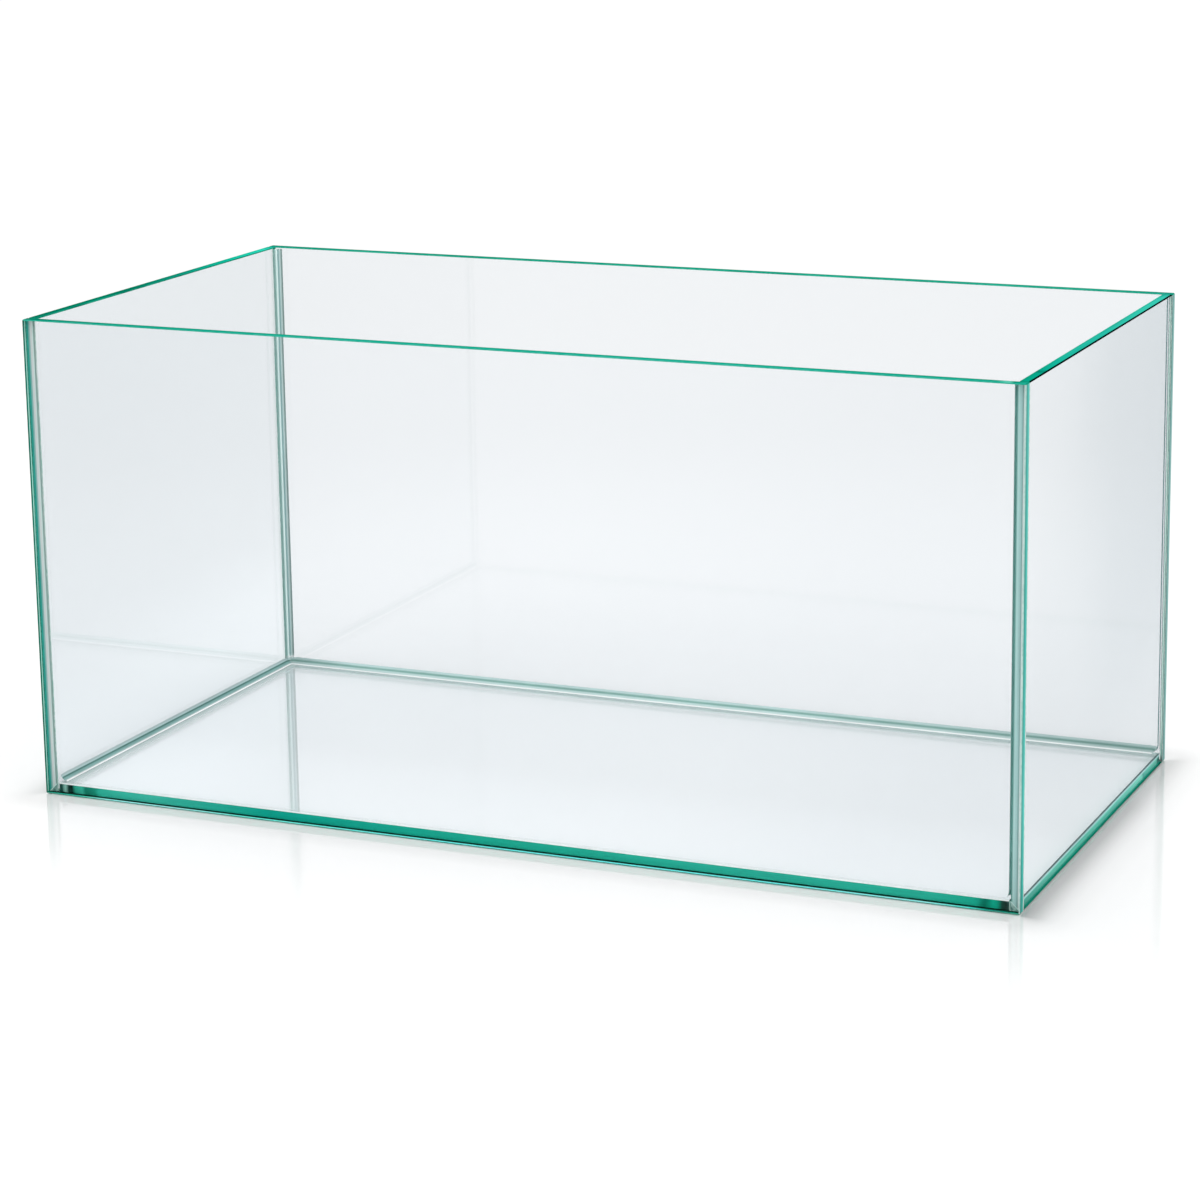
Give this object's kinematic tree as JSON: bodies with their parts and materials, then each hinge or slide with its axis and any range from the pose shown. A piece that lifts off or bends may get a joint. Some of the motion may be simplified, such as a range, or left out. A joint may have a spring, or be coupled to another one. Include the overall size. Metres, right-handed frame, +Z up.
{
  "type": "rimless glass aquarium",
  "caption": "Rimless open-top rectangular aquarium of clear float glass with polished green edges, bonded with clear silicone and sealed with slim inside beads.",
  "frame": {"origin": "middle of the footprint, on the surface that the tank stands on", "axes": "+X along the tank to its right-hand end, +Y to its back, +Z up"},
  "size_m": [0.6, 0.3, 0.285],
  "materials": {
    "float_glass": "clear float glass, ground and polished emerald-green edges",
    "bond_silicone": "clear silicone, satin, slightly grey where it is seen edge on",
    "bead_silicone": "clear silicone, smoothed glossy and hollow"
  },
  "bodies": {
    "root": {"base_pane": "float_glass", "front_pane": "float_glass", "back_pane": "float_glass", "left_pane": "float_glass", "right_pane": "float_glass", "corner_bond_front_left": "bond_silicone", "corner_bond_front_right": "bond_silicone", "corner_bond_back_left": "bond_silicone", "corner_bond_back_right": "bond_silicone", "base_bond_front": "bond_silicone", "base_bond_back": "bond_silicone", "base_bond_left": "bond_silicone", "base_bond_right": "bond_silicone", "corner_bead_front_left": "bead_silicone", "corner_bead_front_right": "bead_silicone", "corner_bead_back_left": "bead_silicone", "corner_bead_back_right": "bead_silicone", "base_bead_front": "bead_silicone", "base_bead_back": "bead_silicone", "base_bead_left": "bead_silicone", "base_bead_right": "bead_silicone"}
  },
  "joints": []
}
